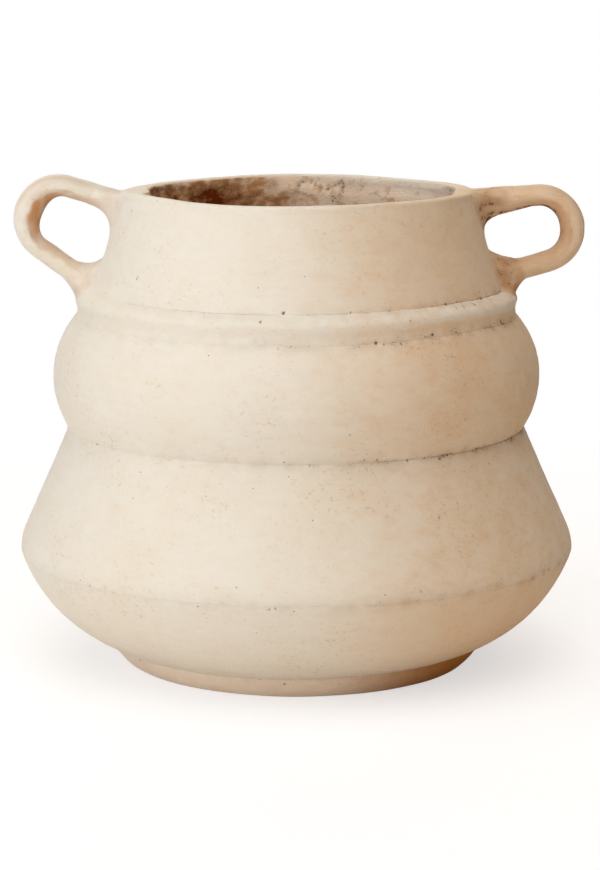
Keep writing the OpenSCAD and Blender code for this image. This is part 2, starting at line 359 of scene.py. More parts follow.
# %% [markdown]
# ## Clay finishes
# The body is low-fired earthenware. Outside it wears a matte coat of pale slip, which is liquid clay
# wiped on with a cloth and rubbed thin on proud spots, so that warmer clay shows through in clouds.
# One side, away from the key lamp, is painted warmer and darker as shade, and near the foot it was
# handled and stained, most on that side. All finishes of the pot are the same clay with other
# colours, so one function builds them. Its patterns are noise of real sizes, read in space, so that
# they run on from piece to piece. A painted image would need files.

# %% Colours and nodes
def linear(hex_colour):
    """Linear red, green, blue and alpha of an sRGB hex colour."""
    parts = [int(hex_colour[i:i + 2], 16) / 255 for i in (1, 3, 5)]
    return [c / 12.92 if c <= 0.04045 else ((c + 0.055) / 1.055) ** 2.4 for c in parts] + [1.0]


def add_node(tree, kind, inputs=None, **settings):
    """Adds a node, sets its properties, and fills its inputs with values or with other nodes' outputs."""
    node = tree.nodes.new(kind)
    for name, value in settings.items():
        setattr(node, name, value)
    for name, value in (inputs or {}).items():
        if isinstance(value, bpy.types.NodeSocket):
            tree.links.new(value, node.inputs[name])
        else:
            node.inputs[name].default_value = value
    return node


# %% Patterns in the clay
CLAY_PATTERNS = {
    # size in mm, squeeze along each axis, and the noise levels where the pattern starts and is full
    "clouds": (70, (1, 1, 1), 0.40, 0.75),
    "patches": (16, (1, 1, 1.5), 0.45, 0.75),
    "wiped": (30, (1, 1, 8), 0.42, 0.78),
    "stained": (38, (1, 1, 1), 0.42, 0.66),
    "mottled": (8, (1, 1, 1.8), 0.48, 0.72),
    "blotches": (7, (1, 1, 1.5), 0.38, 0.64),
    # Grit of 0.3 mm is finer than a pixel, so specks and grain are drawn 1 to 2 mm wide
    "specks": (2.4, (1, 1, 1.4), 0.58, 0.72),
    "grain": (1.3, (1, 1, 1), 0.2, 0.8),
}


def pattern_masks(tree, place):
    """Each pattern as a mask from 0 to 1."""
    mask = {}
    for pattern, (size, squeeze, start, full) in CLAY_PATTERNS.items():
        spread = add_node(tree, "ShaderNodeVectorMath", {0: place, 1: squeeze}, operation="MULTIPLY")
        detail = {"Vector": spread.outputs[0], "Scale": 1 / (size * MM), "Detail": 4.0, "Roughness": 0.6}
        noise = add_node(tree, "ShaderNodeTexNoise", detail)
        levels = {"Value": noise.outputs[0], "From Min": start, "From Max": full}
        mask[pattern] = add_node(tree, "ShaderNodeMapRange", levels).outputs[0]
    return mask


# %% Wear, dirt and painted shade
PINHOLE = 0.4 * MM
PINHOLE_SPACING = 11.5 * MM
CRUMB = 1.3 * MM
FOOT_STAIN = (70 * MM, 4 * MM)
# Painted shade: the side away from the key lamp is painted in a warmer, darker tone
PAINTED_SHADE_WAY = (0.92, -0.40, 0.15)
PAINTED_SHADE_RANGE = (62 * MM, 152 * MM)


def wear_masks(tree, place, mask):
    """Adds masks for what the pieces know, and for pinholes, crumbs of dirt, painted side shade and earth."""
    for mark in ("recess", "bare", "inside", "rubbed"):
        mask[mark] = add_node(tree, "ShaderNodeAttribute", attribute_name=mark).outputs["Fac"]
    holes = add_node(tree, "ShaderNodeTexVoronoi", {"Vector": place, "Scale": 1 / PINHOLE_SPACING})
    grit = add_node(tree, "ShaderNodeTexVoronoi", {"Vector": place, "Scale": 1 / CRUMB})
    dirt_in_grit = {0: mask["recess"], 1: -0.9, 2: grit.outputs["Distance"]}
    filled = add_node(tree, "ShaderNodeMath", dirt_in_grit, operation="MULTIPLY_ADD").outputs[0]
    blotched = {0: mask["blotches"], 1: 0.45, 2: mask["inside"]}
    earth_and_shade = add_node(tree, "ShaderNodeMath", blotched, operation="MULTIPLY_ADD").outputs[0]
    height = add_node(tree, "ShaderNodeSeparateXYZ", {0: place}).outputs["Z"]
    side = add_node(tree, "ShaderNodeVectorMath", {0: place, 1: PAINTED_SHADE_WAY}, operation="DOT_PRODUCT")
    relative = PINHOLE / PINHOLE_SPACING
    ramps = {
        # what is read, where the mask starts and is full, and how it rises between them
        "pinholes": (holes.outputs["Distance"], 1.3 * relative, 0.7 * relative, "LINEAR"),
        "crumbs": (filled, -0.06, -0.18, "LINEAR"),
        "near foot": (height, *FOOT_STAIN, "SMOOTHSTEP"),
        # painted shade, rising towards the side away from the key lamp
        "painted_side_shade": (side.outputs["Value"], *PAINTED_SHADE_RANGE, "SMOOTHSTEP"),
        "uncoated": (mask["inside"], 0.0, 0.3, "LINEAR"),
        # damp and soaked follow the inside mark, which near the rim also holds painted shade on the left
        "damp": (earth_and_shade, 0.5, 0.85, "LINEAR"),
        "soaked": (earth_and_shade, 0.85, 1.35, "LINEAR"),
    }
    for name, (value, start, full, rise) in ramps.items():
        levels = {"Value": value, "From Min": start, "From Max": full}
        mask[name] = add_node(tree, "ShaderNodeMapRange", levels, interpolation_type=rise).outputs[0]


def limit_wear(tree, mask):
    """Keeps stains to the painted shade side and specks to the stains, breaks the painted shade into patches,
    and lifts it where a piece is marked as lit from above.
    """
    on_shaded_side = {0: mask["painted_side_shade"], 1: 0.8, 2: 0.2}
    shade_side_share = add_node(tree, "ShaderNodeMath", on_shaded_side, operation="MULTIPLY_ADD").outputs[0]
    in_patches = {0: mask["patches"], 1: 0.25, 2: 0.8}
    patched = add_node(tree, "ShaderNodeMath", in_patches, operation="MULTIPLY_ADD").outputs[0]
    # painted light: marked pieces lose part of the painted side shade, as if lit from above
    lift_where_lit = {0: mask["rubbed"], 1: -0.6, 2: patched}
    shade_kept = add_node(tree, "ShaderNodeMath", lift_where_lit, operation="MULTIPLY_ADD").outputs[0]
    # stains, the tone near the foot and mottling are strongest on the painted shade side, so there they add
    # painted shade too
    limits = {"specks": mask["stained"], "stained": shade_side_share, "near foot": shade_side_share, "mottled": shade_side_share,
              "painted_side_shade": shade_kept}
    for name, limit in limits.items():
        product = add_node(tree, "ShaderNodeMath", {0: mask[name], 1: limit}, operation="MULTIPLY")
        mask[name] = product.outputs[0]


# %% Fired clay
CLAY_LAYERS = (
    # mask, the tone that it brings, and the most of it
    ("clouds", "warm", 0.3),
    ("patches", "warm", 0.25),
    ("wiped", "warm", 0.2),
    # painted shade on the side away from the key lamp
    ("painted_side_shade", "stain_and_shade", 0.8),
    ("near foot", "stain_and_shade", 0.85),
    ("stained", "stain_and_shade", 0.25),
    ("mottled", "stain_and_shade", 0.5),
    ("specks", "dirt_and_shade", 0.3),
    ("bare", "bare", 0.9),
    ("uncoated", "inner", 0.9),
    ("damp", "bare", 0.8),
    ("soaked", "deep", 1.0),
    ("pinholes", "dirt_and_shade", 0.6),
    # recess: dirt in pits and seams, and painted shade beside the seams, under the upper legs and in the loop
    # openings
    ("recess", "dirt_and_shade", 0.35),
    ("crumbs", "dirt_and_shade", 0.7),
)
CLAY_TONES = ("pale", "warm", "stain_and_shade", "bare", "inner", "dirt_and_shade", "deep")
CLAY_RELIEF = {"wiped": 0.5, "specks": -0.8, "mottled": -0.5}
RELIEF_HEIGHT = 0.3 * MM


def fired_clay(name, colours):
    """Matte earthenware in a pale tone that turns warm, with painted shade on one side, stains, dirt and fine
    grain.
    """
    finish = bpy.data.materials.new(name)
    finish.use_nodes = True
    tree = finish.node_tree
    tree.nodes.clear()
    place = add_node(tree, "ShaderNodeTexCoord").outputs["Object"]
    mask = pattern_masks(tree, place)
    wear_masks(tree, place, mask)
    limit_wear(tree, mask)
    tones = dict(zip(CLAY_TONES, colours))
    colour = linear(tones["pale"])
    for layer, tone, most in CLAY_LAYERS:
        part = {0: mask[layer], 1: most}
        share = add_node(tree, "ShaderNodeMath", part, operation="MULTIPLY", use_clamp=True)
        laid_over = {0: share.outputs[0], 6: colour, 7: linear(tones[tone])}
        colour = add_node(tree, "ShaderNodeMix", laid_over, data_type="RGBA").outputs[2]
    relief = mask["grain"]
    for pattern, height in CLAY_RELIEF.items():
        raised = {0: mask[pattern], 1: height, 2: relief}
        relief = add_node(tree, "ShaderNodeMath", raised, operation="MULTIPLY_ADD").outputs[0]
    bump = add_node(tree, "ShaderNodeBump", {"Height": relief, "Distance": RELIEF_HEIGHT, "Strength": 0.8})
    dull = add_node(tree, "ShaderNodeMapRange", {"Value": mask["patches"], "To Min": 0.93, "To Max": 0.84})
    surface = {"Base Color": colour, "Roughness": dull.outputs[0], "IOR": 1.5, "Specular IOR Level": 0.1,
               "Normal": bump.outputs[0]}
    clay = add_node(tree, "ShaderNodeBsdfPrincipled", surface)
    add_node(tree, "ShaderNodeOutputMaterial", {0: clay.outputs[0]})
    return finish


# %% [markdown]
# ## The four finishes
# Outside, handles and smears wear the same slip. The smears were pressed on wet and thumbed, so that
# brown clay shows on them where a piece is marked as bare, as it does inside the loops. The foot lost
# most of its coat to handling. The inside was never coated and took up dark earth in blotches, and near
# the rim its left side also carries painted shade.

# %% Make the finishes
EARTH = ("#5C2E0A", "#6A2C04")
COAT = ("#EAE6DD", "#E5D9C5", "#DCB992", "#B97F44", "#F6DCC0", *EARTH)
BARE = ("#F8EEE0", "#F2DEC4", "#C98B4C", "#B8741C", "#DDBB97", *EARTH)
INSIDE = ("#B98C62", "#A5764E", "#8A5E3C", "#B97F44", "#DDBB97", *EARTH)
FINISHES = {
    # Wiped slip is chalky: no gloss at all, cream with warm clouds, brown dirt in pits and seams, and painted
    # shade on one side
    "coated_clay": fired_clay("wiped_slip_on_earthenware", COAT),
    # Luting clay under the same slip looks rough and brown where a thumb dragged it, with painted shade where
    # it faces into a loop
    "luting_clay": fired_clay("pressed_luting_clay", COAT),
    # Earthenware that hands rubbed bare is peach, and brown on the right, partly where it stood damp and
    # partly as painted shade
    "bare_clay": fired_clay("bare_handled_earthenware", BARE),
    # Uncoated earthenware that held soil is dull brown, and dark red-brown where it was soaked
    "inside_clay": fired_clay("earth_stained_earthenware", INSIDE),
}
print("finishes:", [finish.name for finish in FINISHES.values()])


def place_on_pot(piece, node, slot):
    """The piece stands for a CAD node, rides with the pot and takes the finish of its slot."""
    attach(piece, "root")
    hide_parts(node)
    piece.data.materials.append(FINISHES[slot])


# %% [markdown]
# ## Turned walls
# A section's outline runs up its outside, over the top, down its inside and back. Each outline point
# becomes a ring. The outside gets palm marks, grooves and pits; the inside gets ridges from the
# fingers that thinned it. At a seam the edge is tucked in under the neighbour, so no gap shows.

# %% Outlines
CROWDING = 0.6


def seam_rows(low, high, count):
    """Heights from low to high, closer together near both seams."""
    t = np.linspace(0, 1, count)
    return low + (high - low) * (t - CROWDING * np.sin(2 * np.pi * t) / (2 * np.pi))


def face(node, low, high, count, outside=True):
    """Radius and height along one face of a solid."""
    return np.array([(ray_radius(node, z, outside), z) for z in seam_rows(low, high, count)])


def unit(ways):
    """The same directions, one metre long."""
    return ways / np.linalg.norm(ways, axis=-1, keepdims=True)


def outward(outline):
    """Directions square to an outline, out of the clay."""
    along = np.gradient(outline, axis=0)
    return unit(np.stack([along[:, 1], -along[:, 0]], -1))


# %% Outer faces
SIDES = 1280
TURN = np.linspace(-math.pi, math.pi, SIDES, endpoint=False)[None, :]
# Turn from the front and half width in degrees, height and half height in mm, where the cordon rises
CORDON_RISE = (50, 25, 2.0, 20)
widest = cad_high.y


def cordon_rise(turn, height):
    """How far the cordon and the clay beside it were laid too high, in metres."""
    middle, half_width, most, half_height = CORDON_RISE
    near = np.exp(-((height - cordon_low) / (half_height * MM)) ** 2)
    return most * MM * near * np.exp(-((np.degrees(turn) - middle) / half_width) ** 2)


def pressed_outside(outline):
    """Rings of an outer face with its marks and dents, and the dirt and painted shade in and beside these."""
    radius, height = outline[:, :1], outline[:, 1:]
    depth, dirt_and_shade = dents(TURN, radius, height)
    push = palm_and_finger_marks(around(TURN, radius, height)) - depth
    out = outward(outline)
    radius = np.minimum(radius + out[:, :1] * push, widest)
    return around(TURN, radius, height + out[:, 1:] * push + cordon_rise(TURN, height)), dirt_and_shade


# %% Earth inside
EARTH_AND_SHADE_ACROSS = {
    # distance to the right of the axis in mm: how much earth the clay took up there, with painted shade on
    # the left, where the key lamp doesn't reach
    -40: 1.0, -26: 0.85, 2: 0.4, 37: 0.27, 70: 0.24,
}
EARTH_DEPTH = (20 * MM, 70 * MM)
FRESH_LIP = (10 * MM, 3 * MM)


def smooth(low, high, value):
    """Rises smoothly from 0 at low to 1 at high."""
    t = np.clip((value - low) / (high - low), 0, 1)
    return t * t * (3 - 2 * t)


def earth_stain_and_shade(places):
    """How much earth the inside took up: all of it low down, and near the rim more on the left, where it is
    partly painted shade.
    """
    level = places[..., 2]
    deep = smooth(rim - EARTH_DEPTH[0], rim - EARTH_DEPTH[1], level)
    across = np.interp(places[..., 0] / MM, list(EARTH_AND_SHADE_ACROSS), list(EARTH_AND_SHADE_ACROSS.values()))
    fresh_lip = smooth(rim - FRESH_LIP[0], rim - FRESH_LIP[1], level)
    uneven = 1 + 0.25 * lumps(places, 9 * MM, 4.9)
    return np.maximum(deep, across * (1 - 0.4 * fresh_lip) * uneven)


# %% Inner faces
INSIDE_MARKS = ((0.8, 30, 6.4), (0.4, 8, 8.8))
RIDGE_HEIGHT = 0.35 * MM
RIDGE_SPACING = 12 * MM
RIDGE_WAVER = 4 * MM
CRACK_DEPTH = 0.9 * MM
CRACK_SIZE = (16 * MM, 16 * MM, 7 * MM)
CRACK_WAVER = 5 * MM
CRUMBLY_SIDE = (60 * MM, 20 * MM)


def pressed_inside(outline):
    """Rings of an inner face with finger ridges and torn cracks, the dirt in these, and how stained it is,
    with painted shade near the rim on the left.
    """
    radius, height = outline[:, :1], outline[:, 1:]
    places = around(TURN, radius, height)
    ridges = np.sin(2 * np.pi * (height + RIDGE_WAVER * lumps(places, 45 * MM, 2.2)) / RIDGE_SPACING)
    bent = places + CRACK_WAVER * lumps(places, 9 * MM, 3.3)[..., None]
    crack = smooth(0.86, 0.98, 1 - np.abs(lumps(bent, CRACK_SIZE, 7.1)))
    crack *= smooth(-0.2, 0.3, lumps(places, 24 * MM, 5.5))
    push = RIDGE_HEIGHT * ridges + hand_marks(places, INSIDE_MARKS) - CRACK_DEPTH * crack
    out = outward(outline)
    rings = around(TURN, radius + out[:, :1] * push, height + out[:, 1:] * push)
    crumbly = 0.4 * np.clip(0.2 + lumps(places, 12 * MM, 4.1), 0, 1) * smooth(*CRUMBLY_SIDE, places[..., 0])
    return rings, np.maximum(0.7 * crack, crumbly), earth_stain_and_shade(places)


# %% Parts of a wall
TUCK = (2.5 * MM, 0.6 * MM)


def plain(outline):
    """Rings of an outline without marks, for what is hidden."""
    outline = np.asarray(outline)
    return around(TURN, outline[:, :1], outline[:, 1:])


def tucked(edge, up):
    """One ring that leads from a seam's edge in under the neighbour."""
    return plain([(edge[0] - TUCK[0], edge[1] + up * TUCK[1])]), 0.5, 0.0


def assemble(name, parts, join_ends=True, lift=None, **other_marks):
    """Joins parts of an outline into one piece; each part is rings, recess and how far it is inside."""
    rings = np.concatenate([part[0] for part in parts])
    if lift is not None:
        rings = lift(rings)
    recess = np.concatenate([np.broadcast_to(part[1], part[0].shape[:2]) for part in parts])
    inside = np.concatenate([np.broadcast_to(part[2], part[0].shape[:2]) for part in parts])
    return skin(name, rings, join_ends, {"recess": recess, "inside": inside, "bare": 0.0, **other_marks})


# %% Shoulder and belly
OUTER_ROWS = 58
HIDDEN_ROWS = 10
# Sections lap inside by LAP, and rays keep off edges and corners by EDGE and CLEAR
EDGE = 0.02 * MM
LAP = 3 * MM
CLEAR = 0.3 * MM


def wall_section(name, node, low, high, rubbed):
    """A wall between two seams; the last argument says how much of the painted side shade is lifted, as on a
    face lit from above.
    """
    outer = face(node, low + EDGE, high - EDGE, OUTER_ROWS)
    inner = face(node, high + LAP - 4 * EDGE, low + LAP + CLEAR, HIDDEN_ROWS, outside=False)
    rings, recess = pressed_outside(outer)
    parts = [(rings, recess, 0.0), tucked(outer[-1], 1), pressed_inside(inner), tucked(outer[0], -1)]
    return assemble(name, parts, rubbed=rubbed)


# The shoulder faces up, so it is painted with less side shade, as if lit from above
shoulder = wall_section("keeled_shoulder", "shoulder_wall", keel, waist, 0.35)
belly = wall_section("belly_roll", "belly_ring", waist, cordon_low, 0.0)
place_on_pot(shoulder, "shoulder_wall", "coated_clay")
place_on_pot(belly, "belly_ring", "coated_clay")

# %% [markdown]
# ## Bowl and foot
# The bowl is the only section with a floor, so its outline starts and ends at the axis. Its floor is
# thick, and a shallow boss under it sits inside the foot ring. The ring is flat where it stands, and
# its outside bulges a little, where it was thumbed down. On the right it is brown, partly where it
# stood damp and partly as painted shade away from the key lamp.

# %% Lower bowl
FLOOR_ROWS = 7
bowl_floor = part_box("lower_bowl")[0].z
boss_radius = ray_radius("lower_bowl", bowl_floor + MM)
floor_top = surfaces["lower_bowl"].ray_cast(Vector((0.01, 0, 1)), Vector((0, 0, -1)))[0].z
outer = face("lower_bowl", foot_top + 2 * EDGE, keel - EDGE, OUTER_ROWS)
inner = face("lower_bowl", keel + LAP - 4 * EDGE, floor_top + CLEAR, HIDDEN_ROWS, outside=False)
rings, recess = pressed_outside(outer)
underside = plain([(r, bowl_floor) for r in np.linspace(MM, boss_radius, 4)] + [(boss_radius, foot_top)])
floor_radii = np.linspace(inner[-1][0] - 2 * MM, MM, FLOOR_ROWS)
floor_part = pressed_inside(np.array([(r, floor_top) for r in floor_radii]))
bowl_parts = [(underside, 0.0, 0.3), (rings, recess, 0.0), tucked(outer[-1], 1)]
bowl_parts += [pressed_inside(inner), floor_part]
bowl = assemble("lower_bowl_wall", bowl_parts, join_ends=False)
place_on_pot(bowl, "lower_bowl", "coated_clay")

# %% Standing foot
FOOT_ROWS = 24
FOOT_BULGE = 1.3 * MM
DAMP_AND_SHADE_SIDE = math.radians(80)


def on_ground(places):
    """The same places with none below the ground."""
    return np.maximum(places, (-1, -1, 0))


bore = ray_radius("foot_ring", foot_top / 2, outside=False)
outer = face("foot_ring", 0.1 * MM, foot_top - EDGE, FOOT_ROWS)
outer[:, 0] += FOOT_BULGE * np.sin(np.pi * outer[:, 1] / foot_top)
rings, recess = pressed_outside(outer)
standing = plain([(r, 0) for r in np.linspace(bore + MM, outer[0][0] - CLEAR, 5)])
bore_rings = plain([(bore, foot_top - 2 * MM), (bore, MM)])
foot_parts = [(rings, recess, 0.0), tucked(outer[-1], 1), (bore_rings, 0.2, 0.3), (standing, 0.0, 0.2)]
# brown on the right, partly damp staining and partly painted shade away from the key lamp
brown = smooth(0.3, 1.0, np.cos(TURN - DAMP_AND_SHADE_SIDE))
foot = assemble("standing_foot", foot_parts, lift=on_ground, bare=brown)
place_on_pot(foot, "foot_ring", "bare_clay")

# %% [markdown]
# ## Neck, rim and cordon
# The lip is thinner than the wall, which thickens below it in a bevel inside. The rim was levelled by
# eye only: it rises and falls by a millimetre or two, most beside the left handle, and the lift fades
# out down the neck. At both handles clay was dragged in over the lip. The cordon is a rolled coil
# pressed over the joint. Its upper half is painted paler, as if lit from above, and its edges carry
# ragged seams.

# %% Lip
NECK_ROWS = (42, 20)
LIP = 6 * MM
LIP_STEPS = 15
LIP_SQUARE = 0.6
LIP_BEVEL = 0.11
BEVEL_FADE = (20 * MM, 45 * MM)
lip_height = rim - LIP / 2
neck_outer = face("neck_collar", cordon_high + EDGE, lip_height, NECK_ROWS[0])
neck_inner = face("neck_collar", lip_height, cordon_low + LAP + CLEAR, NECK_ROWS[1], outside=False)
lip_outer = neck_outer[-1][0]
lip_inner = lip_outer - LIP
below = rim - neck_inner[:, 1]
bevel = lip_inner - LIP_BEVEL * below
neck_inner[:, 0] = bevel + smooth(*BEVEL_FADE, below) * (neck_inner[:, 0] - bevel)
bend = np.linspace(0, math.pi, LIP_STEPS)[1:-1]
level_part = np.sign(np.cos(bend)) * np.abs(np.cos(bend)) ** LIP_SQUARE
squared = np.stack([level_part, np.sin(bend) ** LIP_SQUARE], -1)
lip = np.array([lip_outer - LIP / 2, lip_height]) + LIP / 2 * squared
print("lip radius in mm:", round(lip_inner / MM, 1), "to", round(lip_outer / MM, 1))

# %% Uneven rim
RIM_LIFT = {
    # turn from the front in degrees: lift in mm
    -110: -1.7, -85: -0.2, -55: 1.9, -25: 0.0, 0: 0.1, 30: 0.9,
    60: 0.5, 95: 0.2, 135: -1.1, 165: 0.0, 190: -0.1, 215: -1.4,
}
RIM_EASING = (-8, 0, 8)
DRAGGED_LIP = (
    # turn from the front and half width in degrees, and how far clay was dragged in over the lip, in mm
    (-90, 20, 11),
    (84, 18, 5),
)
DRAG_DEPTH = 25 * MM


def uneven_rim(places):
    """Places of the neck, lifted or lowered towards the rim, and moved in where clay was dragged over it."""
    turns = np.degrees(np.arctan2(places[..., 0], -places[..., 1]))
    stops, lifts = list(RIM_LIFT), list(RIM_LIFT.values())
    lift = sum(np.interp(turns + step, stops, lifts, period=360) for step in RIM_EASING) / len(RIM_EASING)
    raised = places.copy()
    raised[..., 2] += lift * MM * smooth(cordon_high, rim, places[..., 2])
    radius = np.linalg.norm(places[..., :2], axis=-1)
    dragged = sum(far * MM * np.exp(-((turns - turn) / wide) ** 2) for turn, wide, far in DRAGGED_LIP)
    dragged *= smooth(lip_outer, lip_inner, radius) * smooth(rim - DRAG_DEPTH, lip_height, places[..., 2])
    raised[..., :2] *= (1 - dragged / radius)[..., None]
    return raised


# %% Neck
rings, recess = pressed_outside(np.vstack([neck_outer, lip]))
turned_in = np.concatenate([np.full(len(neck_outer), -1), -squared[:, 0]])
# the lip's inner half takes the earth stain and painted shade of the inside
lip_stain_and_shade = smooth(0.7, 1.0, turned_in)[:, None] * earth_stain_and_shade(rings)
neck_parts = [(rings, recess, lip_stain_and_shade), pressed_inside(neck_inner), tucked(neck_outer[0], -1)]
neck = assemble("neck_and_rim", neck_parts, lift=uneven_rim)
place_on_pot(neck, "neck_collar", "coated_clay")

# %% Cordon
CORDON_ROWS = 34
PRESSED_FLAT = 0.95
# Above 1 the crest lies above the middle
CREST = 2
cordon_face = face("cordon", cordon_low + EDGE, cordon_high - EDGE, CORDON_ROWS)
rise = (cordon_face[:, 1] - cordon_low) / (cordon_high - cordon_low)
chord = cordon_face[0][0] + (cordon_face[-1][0] - cordon_face[0][0]) * rise
bulge = PRESSED_FLAT * np.max(cordon_face[:, 0] - chord)
cordon_face[:, 0] = chord + bulge * np.sin(np.pi * rise ** CREST)
rings, recess = pressed_outside(cordon_face)
back_radius = cordon_face[-1][0] - 2 * MM
back = plain([(back_radius, cordon_high), (back_radius, cordon_low)])
# Painted highlight: the cordon's upper half loses the painted side shade, as if lit from above
rubbed = np.append(smooth(0.3, 0.6, rise), [0, 0])[:, None]
cordon = assemble("neck_cordon", [(rings, recess, 0.0), (back, 1.0, 0.0)], rubbed=rubbed)
place_on_pot(cordon, "cordon", "coated_clay")

# %% [markdown]
# ## Coils inside
# A worm of clay was pressed over each seam inside and smeared with the thumb. Only its inner half
# shows, so the outline is an arc of the coil's circle with its back just under the wall's face.

# %% Seam coils
COIL_ARC = np.radians(np.linspace(75, 285, 18))
for seam in ("keel", "waist", "neck"):
    node = seam + "_seam_coil"
    low, high = heights(node)
    coil_radius = (high - low) / 2
    middle_radius = ray_radius(node, (low + high) / 2, outside=False) + coil_radius
    coil_middle = (middle_radius, (low + high) / 2)
    arc = coil_middle + coil_radius * np.stack([np.cos(COIL_ARC), np.sin(COIL_ARC)], -1)
    piece = assemble(seam + "_inner_coil", [pressed_inside(arc)])
    place_on_pot(piece, node, "inside_clay")

# %% [markdown]
# ## Loop handles
# Each handle is a rolled strap of clay: a straight leg from the wall, a tight bend and a leg back.
# The middle line is three simple parts, two lines that touch one circle, so a distance along it
# gives a place. A curve with a bevel would be quicker, but its rings couldn't be pressed one by one.
# Inside the loop the legs are slimmer and the coat is thin, and the upper right leg flares to its root.

# %% Handle lines
BEND = 17.5 * MM
ROOT_DEPTH = 8 * MM
HANDLES = {
    # side, thickness of the bend and of the legs, how much is missing inside the loop at the legs,
    # how much the upper leg flares towards its root, and heights of the upper and the lower root, in mm
    "left": (-1, 14.8, 13.0, 2.2, 0.0, 244.5, 200.5),
    "right": (1, 12.8, 12.0, 1.0, 6.5, 247.6, 206.0),
}


def pot_radius(height):
    """Radius of the outer face at a height from the belly to the rim."""
    if cordon_low < height < cordon_high:
        return np.interp(height, cordon_face[:, 1], cordon_face[:, 0])
    return ray_radius("neck_collar" if height > cordon_low else "belly_ring", height)


def handle_limits(hand):
    """How far out and how high a handle goes."""
    low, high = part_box(hand + "_handle")
    return max(-low.x, high.x), high.z


def handle_line(hand):
    """Function from distances along a handle to places, ways out and share of the bend; and its length."""
    _, rod, _, _, _, upper, lower = HANDLES[hand]
    centre = np.array(handle_limits(hand)) - rod * MM / 2 - BEND
    roots = [np.array([pot_radius(z * MM) - ROOT_DEPTH, z * MM]) for z in (lower, upper)]
    far = [np.linalg.norm(root - centre) for root in roots]
    leave = [math.atan2(*(root - centre)[::-1]) + way * math.acos(BEND / apart)
             for root, apart, way in zip(roots, far, (1, -1))]
    legs = [math.sqrt(apart ** 2 - BEND ** 2) for apart in far]

    def at(distance):
        bent = distance - legs[0]
        angle = np.clip(leave[0] + bent / BEND, *leave)
        out = np.stack([np.cos(angle), np.sin(angle)], -1)
        ahead = np.stack([-np.sin(angle), np.cos(angle)], -1)
        place = centre + BEND * out + (bent - BEND * (angle - leave[0]))[:, None] * ahead
        return place, out, (angle - leave[0]) / (leave[1] - leave[0])

    return at, sum(legs) + BEND * (leave[1] - leave[0])


print("handle lines in mm:", [round(handle_line(hand)[1] / MM, 1) for hand in HANDLES])

# %% Wear and painted shade on the loops
ROUND = np.linspace(0, 2 * math.pi, 72, endpoint=False)[None, :]
LOOP_ROWS = 170
ALONG = np.linspace(0, 1, LOOP_ROWS)[:, None]
ROW_LENGTH = 0.65 * MM
HANDLE_DEPTH = 15 * MM
BEND_MIDDLE = 0.53
BEND_WIDTH = 0.24
LOOP_WEAR = {
    # share of thin coat, share of painted shade under the upper leg and of nicks, and shift of the streaks
    "left": (1.0, 0.4, 3.4),
    "right": (0.5, 1.0, 8.6),
}


def loop_wear(hand, even):
    """Where a loop's coat flaked off beside its thin part, how thin it is, and its dirt, with painted shade
    under the upper leg.
    """
    thin, under_shade_and_nicks, shift = LOOP_WEAR[hand]
    lengthwise = np.arange(LOOP_ROWS)[:, None] * ROW_LENGTH
    unrolled = np.stack(np.broadcast_arrays(lengthwise, HANDLE_DEPTH / 2 * ROUND, 0), -1)
    inner = smooth(-0.15, 0.35, -np.cos(ROUND) + 0.25 * lumps(even, 6 * MM, 3.1))
    border = inner * (1 - inner) * 4
    streaks = np.clip(1.8 * lumps(unrolled, (7 * MM, 1.5 * MM, MM), shift), 0, 1)
    flaked = border * streaks * thin
    bend_share = 0.3 + 0.7 * np.exp(-((ALONG - BEND_MIDDLE) / BEND_WIDTH) ** 2)
    thin_coat = thin * bend_share * inner * np.clip(0.95 + 0.5 * lumps(even, 5 * MM, 9.9), 0, 1)
    brushed = thin * 0.4 * np.clip(lumps(unrolled, (20 * MM, 3 * MM, MM), 5.8), 0, 1)
    # painted shade on the underside of the upper leg, inside the loop
    under = smooth(0.55, 0.85, -np.cos(ROUND)) * smooth(0.5, 0.62, ALONG)
    painted_under_shade = under * np.clip(0.8 + 0.5 * lumps(even, 5 * MM, 1.2), 0, 1)
    nicks = 1.3 * np.clip(lumps(unrolled, (5 * MM, 1.5 * MM, MM), 2.3) - 0.5, 0, 1)
    dirt_and_shade = np.maximum(0.75 * flaked * bend_share, under_shade_and_nicks * np.maximum(painted_under_shade, nicks))
    return flaked, np.maximum(thin_coat, brushed), dirt_and_shade


# %% Loops
SQUEEZE_MARKS = ((0.25, 16, 2.6), (0.15, 6, 7.7))
FULLER = 0.25
FLAKE_DEPTH = 0.9
FLARE_START = 0.72


def loop_rings(hand):
    """Rings of a whole handle on the right, from lower to upper root, how bare they are, and their dirt and
    painted shade.
    """
    at, length = handle_line(hand)
    place, out, bent = at(np.linspace(ROOT_DEPTH / 2, length - ROOT_DEPTH / 2, LOOP_ROWS))
    _, rod, leg, missing, flare, _, _ = HANDLES[hand]
    swell = np.sin(np.pi * bent) ** 2
    half = MM * (leg + (rod - leg) * swell) / 2
    level, steep = np.cos(ROUND) * out[:, :1], np.cos(ROUND) * out[:, 1:]
    facing = np.stack(np.broadcast_arrays(level, np.sin(ROUND), steep), -1)
    middle = np.stack([place[:, 0], np.zeros(LOOP_ROWS), place[:, 1]], -1)[:, None, :]
    size = np.stack([half, np.full(LOOP_ROWS, HANDLE_DEPTH / 2), half], -1)[:, None, :]
    even = middle + facing * size
    flaked, thin_coat, dirt_and_shade = loop_wear(hand, even)
    flared = flare * np.clip((ALONG - FLARE_START) / (1 - FLARE_START), 0, 1)
    slim = (missing * (1 - swell[:, None]) - flared) * np.clip(-np.cos(ROUND), 0, 1)
    push = MM * (FULLER - FLAKE_DEPTH * flaked - slim) + hand_marks(even, SQUEEZE_MARKS)
    reach, top = handle_limits(hand)
    return np.minimum(even + facing * push[..., None], (reach, 1, top)), thin_coat, dirt_and_shade


